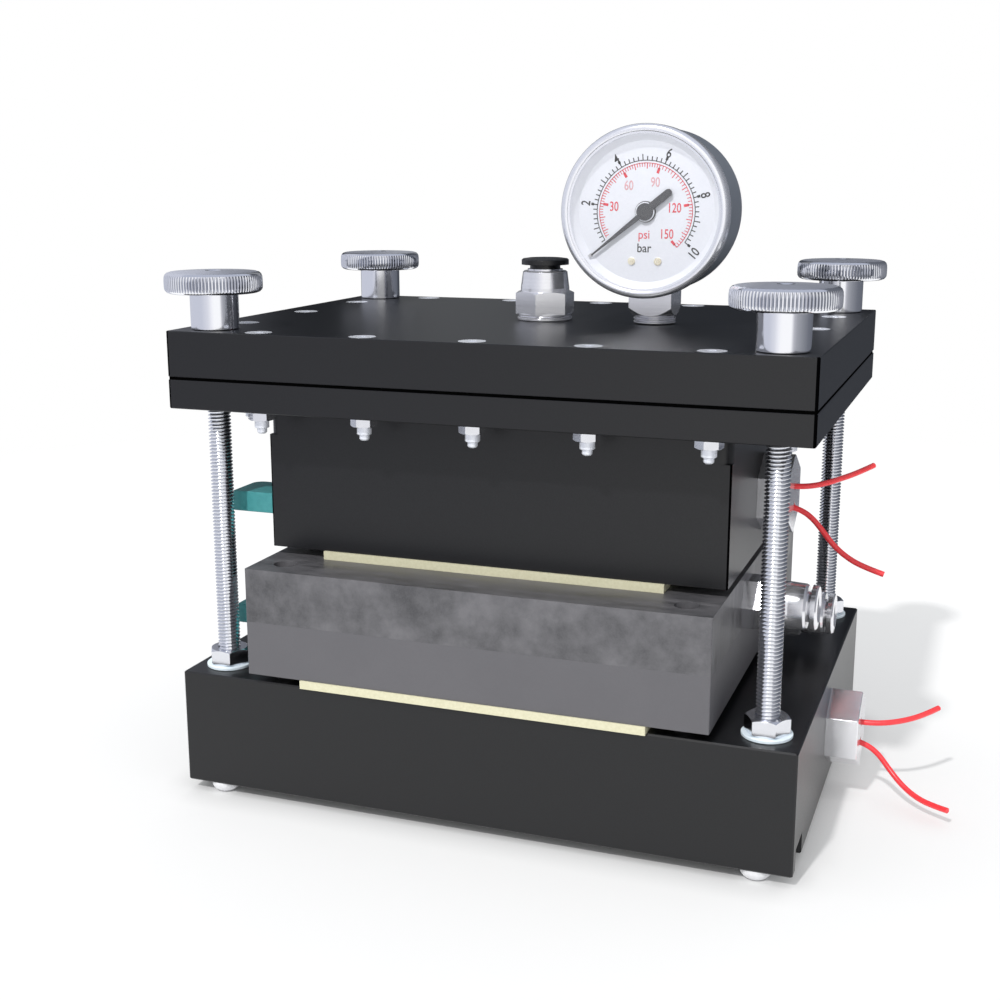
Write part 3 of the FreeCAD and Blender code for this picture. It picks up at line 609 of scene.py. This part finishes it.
def threaded_rods():
    """One rod, its thread swept from one tooth, with a plain shank at either end, then copied."""
    low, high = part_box("tie_rods")
    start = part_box("base_block")[1].z + plain_foot
    thread_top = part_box("lower_plate")[0].z + head_travel + plate_overlap
    turns = math.ceil((thread_top - start) / (thread_pitch * mm))
    flank, flat = 0.47, 0.16
    tooth = [(thread_root, 0), (thread_crest, flank), (thread_crest, flank + flat)]
    tooth += [(thread_root, 2 * flank + flat), (thread_root, thread_pitch)]
    line = drawn_line("tie_rod_front_left", [(r * mm, 0, z * mm) for r, z in tooth])
    first = swept(line, turns, 24, rise=thread_pitch * mm)
    first.location.z = start
    close_up(settle(first))
    pieces = [first]
    shank, chamfer = thread_crest - 0.05, 0.8
    for name, foot, head in (("shank_low", low.z / mm, start / mm + thread_pitch),
                             ("shank_high", thread_top / mm - 1.0, high.z / mm)):
        profile = [(shank - chamfer, foot), (shank, foot + chamfer)]
        profile += [(shank, head - chamfer), (shank - chamfer, head)]
        pieces.append(lathe(name, profile, 32))
    first = join(pieces, "tie_rod_front_left")
    # Painted shade: the thread's roots are marked to be painted darker.
    painted_groove_shade = first.data.attributes.new("painted_groove_shade", "FLOAT", "POINT")
    for vertex, mark in zip(first.data.vertices, painted_groove_shade.data):
        mark.value = 1.0 if math.hypot(vertex.co.x, vertex.co.y) < (thread_root + 0.1) * mm else 0.0
    smooth(first, 60)
    radius = thread_crest * mm
    places = {
        "front_right": (high.x - radius, low.y + radius),
        "rear_left": (low.x + radius, high.y - radius),
        "rear_right": (high.x - radius, high.y - radius),
        "front_left": (low.x + radius, low.y + radius),
    }
    for corner, (x, y) in places.items():
        rod = first if corner == "front_left" else duplicate(first, "tie_rod_" + corner)
        rod.location = (x, y, 0)
        settle(rod)
        paint(rod, "rod_metal")
        carry(rod, "base_assembly", "plated_steel", "tie_rods")


# Knurled knobs, in millimetres

knurl_ridges = 92
knurl_depth = 0.32


def knurled_knobs():
    """One knob turned from its profile, knurled by drawing in two of every four columns, and copied."""
    columns = 4 * knurl_ridges
    low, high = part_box("knob_front_left")
    radius, top = (high.x - low.x) / 2 / mm, (high.z - low.z) / mm
    stem, head_height = 8.35, 7.6
    stem_height = top - head_height
    middle = stem_height + 3.3
    profile = [
        (stem - 0.4, 0), (stem, 0.35), (stem, stem_height - 0.15), (stem + 0.2, stem_height),
        (radius - 1.7, stem_height), (radius - 0.9, stem_height + 0.3), (radius - 0.35, stem_height + 0.85),
        (radius - 0.1, stem_height + 1.3), (radius, middle - 1.0), (radius, middle + 1.0),
        (radius - 0.1, top - 2.1), (radius - 0.4, top - 1.3), (radius - 1.0, top - 0.75),
        (radius - 1.9, top - 0.45), (3.1, top - 0.05), (2.8, top), (2.5, top - 0.15), (0.0, top - 1.1),
    ]
    knob = lathe("knurled_knob_front_left", profile, columns)
    only(knob)
    low_band, high_band = (stem_height + 1.0) * mm, (top - 1.5) * mm
    for polygon in knob.data.polygons:
        polygon.select = False
    for edge in knob.data.edges:
        edge.select = False
    for vertex in knob.data.vertices:
        place = vertex.co
        column = round(math.atan2(place.y, place.x) / full_turn * columns) % 4
        on_band = low_band < place.z < high_band and math.hypot(place.x, place.y) > (radius - 0.5) * mm
        vertex.select = on_band and column in (0, 1)
    # Painted shade: the drawn-in columns are marked to be painted darker, darkest along the middle row as a
    # painted dark reflection.
    painted_groove_shade = knob.data.attributes.new("painted_groove_shade", "FLOAT", "POINT")
    for vertex, mark in zip(knob.data.vertices, painted_groove_shade.data):
        in_middle = abs(vertex.co.z / mm - middle) < 1.1
        mark.value = (1.0 if in_middle else 0.65) if vertex.select else 0.0
    bpy.ops.object.mode_set(mode="EDIT")
    draw_in = (radius - knurl_depth) / radius
    bpy.ops.transform.resize(value=(draw_in, draw_in, 1.0), center_override=(0, 0, 0))
    bpy.ops.object.mode_set(mode="OBJECT")
    smooth(knob, 25)
    for corner in ("front_right", "rear_left", "rear_right", "front_left"):
        node = "knob_" + corner
        low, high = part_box(node)
        piece = knob if corner == "front_left" else duplicate(knob, "knurled_knob_" + corner)
        piece.location = ((low.x + high.x) / 2, (low.y + high.y) / 2, low.z)
        settle(piece)
        paint(piece, "knob_metal")
        carry(piece, node, "knob_metal", node)


# The gauge's rolled bezel


def gauge_bezel():
    """A ring with a rounded outer edge, a broad flat front and a narrow lip round the glass."""
    low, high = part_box("gauge_bezel")
    outer, depth = (high.x - low.x) / 2 / mm, (high.y - low.y) / mm
    inner = outer - 2.8
    bezel = lathe("rolled_bezel", [
        (outer - 0.85, -depth), (outer - 0.1, -depth), (outer, -depth + 0.1), (outer, -1.7),
        (outer - 0.12, -1.15), (outer - 0.4, -0.62), (outer - 0.85, -0.24), (outer - 1.4, -0.05),
        (outer - 1.9, 0), (inner + 0.45, -0.12), (inner + 0.2, -0.3), (inner + 0.16, -0.65),
        (inner - 0.5, -0.75), (inner - 0.55, -1.35), (outer - 0.85, -1.38), (outer - 0.85, -depth),
    ], 128)
    smooth(bezel, 30)
    bezel.rotation_euler.x = math.radians(90)
    bezel.location = ((low.x + high.x) / 2, low.y, (low.z + high.z) / 2)
    settle(bezel)
    paint(bezel, "bezel_metal")
    carry(bezel, "clamp_head", "bezel_metal", "gauge_bezel")


# The dial's print

dial_low, dial_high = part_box("gauge_dial")
dial_centre = Vector(((dial_low.x + dial_high.x) / 2, 0, (dial_low.z + dial_high.z) / 2))
dial_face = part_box("gauge_dial_screws")[0].y + 0.35 * mm
print_lift = 0.04 * mm
print_thickness = 0.03 * mm
figure_height = 3.2
letter_height = 3.0
cap_height = 0.7
zero_angle = -134.4
degrees_per_bar = 26.05
print_start = -124.0
bar_ring = 17.25
psi_ring = 16.35
tick_width = 0.34
red_marks = [(0, -131.0), (30, -80.3), (60, -31.0), (90, 17.0), (120, 81.0), (150, 136.5)]


def bar_angle(bar):
    return zero_angle + degrees_per_bar * bar


def psi_angle(psi):
    """The angle of a pressure on the red scale, even between one long mark and the next."""
    for (low, low_angle), (high, high_angle) in zip(red_marks, red_marks[1:]):
        if low <= psi <= high:
            return low_angle + (high_angle - low_angle) * (psi - low) / (high - low)


def on_circle(angle, radius):
    """A point of the drawing at an angle clockwise from the top, its radius in millimetres."""
    turn = math.radians(angle)
    return math.sin(turn) * radius * mm, math.cos(turn) * radius * mm, 0


def onto_dial(obj, finish, raise_by=0.0):
    """Stands a flat drawing, made round the origin with Y up, on the dial's face."""
    obj.rotation_euler = (math.radians(90), 0, 0)
    obj.location = (dial_centre.x, dial_face - print_lift - raise_by, dial_centre.z)
    settle(obj)
    paint(obj, finish)
    carry(obj, "clamp_head", "dial_white")


def stroke(angle, inner, outer, width):
    """A printed stroke from one radius to another, at an angle clockwise from the top."""
    bpy.ops.mesh.primitive_plane_add(size=1.0, location=on_circle(angle, (inner + outer) / 2))
    mark = bpy.context.object
    mark.scale = (width * mm, (outer - inner) * mm, 1.0)
    mark.rotation_euler.z = -math.radians(angle)
    return settle(mark)


def arc_band(radius, width, start, end):
    """A printed line that runs round the dial from one angle to another."""
    steps = int((end - start) / 2)
    inner, outer = radius - width / 2, radius + width / 2
    points = [on_circle(start + (end - start) * k / steps, inner) for k in range(steps + 1)]
    band = drawn_line("arc_band", points)
    bpy.ops.object.mode_set(mode="EDIT")
    bpy.ops.mesh.select_all(action="SELECT")
    bpy.ops.mesh.extrude_edges_move()
    wider = outer / inner
    bpy.ops.transform.resize(value=(wider, wider, 1.0), center_override=(0, 0, 0))
    bpy.ops.object.mode_set(mode="OBJECT")
    return band


def thickened(marks, name):
    """Makes one piece of flat printed marks and gives it its thin body."""
    scale = join(marks, name)
    bpy.ops.object.modifier_add(type="SOLIDIFY")
    body = scale.modifiers[-1]
    body.thickness = print_thickness
    body.offset = 0.0
    bpy.ops.object.modifier_apply(modifier=body.name)
    bpy.ops.object.mode_set(mode="EDIT")
    bpy.ops.mesh.select_all(action="SELECT")
    bpy.ops.mesh.normals_make_consistent(inside=False)
    bpy.ops.object.mode_set(mode="OBJECT")
    return scale


def print_scales():
    """The black bar scale, the red psi scale inside it, and a grey mark under the pointer's tip."""
    black = []
    for step in range(1, 51):
        angle = bar_angle(step / 5)
        if angle < print_start:
            continue
        if step % 10 == 0:
            black.append(stroke(angle, bar_ring, bar_ring + 1.6, tick_width))
            black.append(stroke(angle, bar_ring + 1.3, bar_ring + 2.3, 0.85))
        elif step % 5 == 0:
            black.append(stroke(angle, bar_ring, bar_ring + 2.1, tick_width))
        else:
            black.append(stroke(angle, bar_ring, bar_ring + 1.4, tick_width))
    black.append(arc_band(bar_ring, 0.27, -123.7, bar_angle(10)))
    onto_dial(thickened(black, "bar_scale"), "dial_black")
    red = []
    for psi in range(0, 151, 2):
        angle = psi_angle(psi)
        if angle < print_start:
            continue
        if psi % 30 == 0:
            red.append(stroke(angle, psi_ring - 2.9, psi_ring - 1.1, 0.9))
            red.append(stroke(angle, psi_ring - 1.4, psi_ring, tick_width))
        elif psi % 10 == 0:
            red.append(stroke(angle, psi_ring - 1.9, psi_ring, 0.3))
        else:
            red.append(stroke(angle, psi_ring - 1.25, psi_ring, 0.25))
    red.append(arc_band(psi_ring, 0.24, -122.5, psi_angle(150)))
    onto_dial(thickened(red, "psi_scale"), "dial_red")
    onto_dial(thickened([stroke(-128.2, 23.6, 25.2, 1.3)], "zero_mark"), "dial_grey", raise_by=1.0 * mm)


def printed_word(text, place, height, turn, finish, narrow, weight):
    """Plain figures or letters at a place on the dial, their height and weight in millimetres."""
    bpy.ops.object.select_all(action="DESELECT")
    bpy.ops.object.text_add(location=(0, 0, 0))
    letters = bpy.context.object.data
    letters.body = text
    letters.align_x = "CENTER"
    letters.align_y = "CENTER"
    letters.size = height / cap_height * mm
    letters.extrude = print_thickness / 2
    letters.offset = weight * mm
    letters.resolution_u = 4
    bpy.ops.object.convert(target="MESH")
    word = named("print_" + text)
    word.scale = (narrow, 1.0, 1.0)
    word.rotation_euler.z = -math.radians(turn)
    word.location = place
    settle(word)
    onto_dial(word, finish)


def pointer_hub():
    """A pale ring round the pointer's hub, a painted highlight, and a dark disc behind it, a painted shadow
    of the hub.
    """
    for name, finish, profile in (
            ("pointer_hub_highlight", "dial_white",
             [(2.95, 0.85), (3.35, 0.85), (3.35, 1.2), (2.95, 1.2), (2.95, 0.85)]),
            ("pointer_hub_shadow", "dial_black", [(0.0, 0.15), (3.6, 0.15), (3.6, 0.6), (0.0, 0.6)])):
        piece = smooth(lathe(name, profile, 64), 35)
        piece.rotation_euler.x = math.radians(90)
        piece.location = (dial_centre.x, dial_face, dial_centre.z)
        settle(piece)
        paint(piece, finish)
        carry(piece, "gauge_pointer", "pointer_black")


def print_figures():
    """The bar figures stand along their radius. The psi figures and both words are upright."""
    round_the_edge = (
        ("2", -82.3, 21.4, -82.3),
        ("4", -31.2, 20.4, -31.2),
        ("6", 21.9, 20.9, 21.9),
        ("8", 74.6, 21.2, 74.6),
        ("10", 129.1, 22.2, -50.9),
    )
    for text, angle, radius, turn in round_the_edge:
        printed_word(text, on_circle(angle, radius), figure_height, turn, "dial_black", 0.8, 0.05)
    upright = (
        ("30", -11.2, 1.6, figure_height, "dial_red", 0.72, 0.03),
        ("60", -6.1, 8.7, figure_height, "dial_faded", 0.72, 0.03),
        ("90", 3.2, 9.8, figure_height, "dial_faded", 0.72, 0.03),
        ("120", 10.0, 1.2, figure_height, "dial_red", 0.72, 0.03),
        ("150", 7.5, -7.6, figure_height, "dial_red", 0.72, 0.03),
        ("psi", -0.4, -7.8, letter_height, "dial_red", 0.9, 0.0),
        ("bar", -0.3, -12.4, letter_height, "dial_black", 0.9, 0.03),
    )
    for text, x, y, height, finish, narrow, weight in upright:
        printed_word(text, (x * mm, y * mm, 0), height, 0, finish, narrow, weight)


threaded_rods()
knurled_knobs()
gauge_bezel()
print_scales()
print_figures()
pointer_hub()


# Floor, lamps and what the metal mirrors

floor_size = 60.0
shadow_edge = (0.25, 0.75)
floor_glow = 0.36
contact_shadow = 14 * mm
ambient = 0.8
dark = (0.014, 0.017, 0.022)
dusk = (0.06, 0.066, 0.08)
lavender = (0.58, 0.6, 0.68)
white = (1.0, 1.0, 1.0)
screen_shades = [
    (-180, dusk), (-165, dusk), (-159, (0.24, 0.25, 0.265)), (-150, (0.26, 0.27, 0.285)),
    (-144, dark), (-138, dark), (-124, lavender), (-40, lavender),
    (-14, (0.72, 0.73, 0.79)), (2, (0.92, 0.92, 0.95)), (12, white), (42, white),
    (50, (0.5, 0.5, 0.54)), (60, (0.36, 0.37, 0.4)), (80, (0.26, 0.27, 0.3)), (110, (0.16, 0.17, 0.2)),
    (158, (0.12, 0.13, 0.155)), (170, dusk), (180, dusk),
]
ceiling_shade = (0.46, 0.49, 0.58)


def seen_by_mirrors(tree):
    """1 for rays from the camera, off a mirror or through glass, and 0 for the rest."""
    rays = add_node(tree, "ShaderNodeLightPath").outputs
    either = reckoned(tree, "MAXIMUM", rays["Is Camera Ray"], rays["Is Glossy Ray"])
    return reckoned(tree, "MAXIMUM", either, rays["Is Transmission Ray"])


def glow_material(name, colour=None):
    """A material that only glows, and its tree and glow for further nodes."""
    material = bpy.data.materials.new(name)
    material.use_nodes = True
    tree = material.node_tree
    tree.nodes.remove(tree.nodes["Principled BSDF"])
    glow = add_node(tree, "ShaderNodeEmission")
    tree.links.new(glow.outputs["Emission"], tree.nodes["Material Output"].inputs["Surface"])
    if colour:
        glow.inputs["Color"].default_value = (*colour, 1.0)
    return material, tree, glow


def lay_floor():
    """A white floor that keeps the object's shadow, and glows white farther out, where no shadow falls."""
    bpy.ops.object.select_all(action="DESELECT")
    bpy.ops.mesh.primitive_plane_add(size=floor_size, location=(0, 0, 0))
    floor = named("floor")
    material, tree, glow = glow_material("white_floor")
    matte = add_node(tree, "ShaderNodeBsdfDiffuse")
    matte.inputs["Color"].default_value = (0.9, 0.9, 0.9, 1.0)
    contact = add_node(tree, "ShaderNodeAmbientOcclusion", samples=8)
    contact.inputs["Distance"].default_value = contact_shadow
    tree.links.new(contact.outputs["Color"], glow.inputs["Color"])
    distance = add_node(tree, "ShaderNodeVectorMath", operation="LENGTH")
    tree.links.new(own_place(tree), distance.inputs[0])
    outwards = ranged(tree, distance.outputs["Value"], *shadow_edge, floor_glow, 1.0)
    share = reckoned(tree, "MULTIPLY", seen_by_mirrors(tree), outwards)
    mixed(tree, share, matte.outputs["BSDF"], glow.outputs["Emission"])
    floor.data.materials.append(material)


def light_world():
    """White to the camera, to metal and through glass, and soft even light to everything else."""
    world = bpy.data.worlds.new("studio")
    world.use_nodes = True
    bpy.context.scene.world = world
    tree = world.node_tree
    soft = tree.nodes["Background"]
    soft.inputs["Color"].default_value = (0.96, 0.98, 1.0, 1.0)
    soft.inputs["Strength"].default_value = ambient
    bright = add_node(tree, "ShaderNodeBackground")
    bright.inputs["Color"].default_value = (*white, 1.0)
    bright.inputs["Strength"].default_value = 1.0
    share = seen_by_mirrors(tree)
    mixed(tree, share, soft.outputs["Background"], bright.outputs["Background"], "World Output")


def only_for_mirrors(obj, material):
    """Hides a screen from all but what metal mirrors."""
    obj.data.materials.append(material)
    obj.visible_camera = False
    obj.visible_diffuse = False
    obj.visible_shadow = False
    obj.visible_transmission = False


def stand_screens(radius, height, shades, ceiling):
    """A round screen and a ceiling over it. Each shade stands at an azimuth from the front, towards +X."""
    bpy.ops.object.select_all(action="DESELECT")
    bpy.ops.mesh.primitive_cylinder_add(
        vertices=96, radius=radius, depth=height, end_fill_type="NOTHING", location=(0, 0, height / 2))
    screen = settle(named("studio_screens"))
    material, tree, glow = glow_material("studio_screens")
    axes = own_axes(tree)
    azimuth = reckoned(tree, "ARCTAN2", axes["X"], reckoned(tree, "MULTIPLY", axes["Y"], -1.0))
    ramp = add_node(tree, "ShaderNodeValToRGB")
    tree.links.new(ranged(tree, azimuth, -math.pi, math.pi, 0.0, 1.0), ramp.inputs["Fac"])
    stops = ramp.color_ramp.elements
    for angle, shade in shades[1:-1]:
        stops.new(angle / 360 + 0.5).color = (*shade, 1.0)
    stops[0].color = (*shades[0][1], 1.0)
    stops[-1].color = (*shades[-1][1], 1.0)
    tree.links.new(ramp.outputs["Color"], glow.inputs["Color"])
    only_for_mirrors(screen, material)
    bpy.ops.mesh.primitive_circle_add(vertices=64, radius=radius, fill_type="NGON", location=(0, 0, height))
    only_for_mirrors(settle(named("studio_ceiling")), glow_material("studio_ceiling", ceiling)[0])


def distant_lamp(name, towards, spread, strength, colour):
    """A lamp far off in one direction, spread degrees wide, so that it lights the floor evenly."""
    lamp = bpy.data.lights.new(name, "SUN")
    lamp.angle = math.radians(spread)
    lamp.energy = strength
    lamp.color = colour
    holder = bpy.data.objects.new(name, lamp)
    holder.rotation_euler = Vector(towards).to_track_quat("Z", "Y").to_euler()
    bpy.context.scene.collection.objects.link(holder)


lay_floor()
light_world()
stand_screens(radius=0.45, height=0.6, shades=screen_shades, ceiling=ceiling_shade)
distant_lamp("key", towards=(-0.119, -0.667, 0.735), spread=2.7, strength=2.0, colour=(1.0, 0.99, 0.98))

bpy.context.scene.view_settings.view_transform = "Standard"
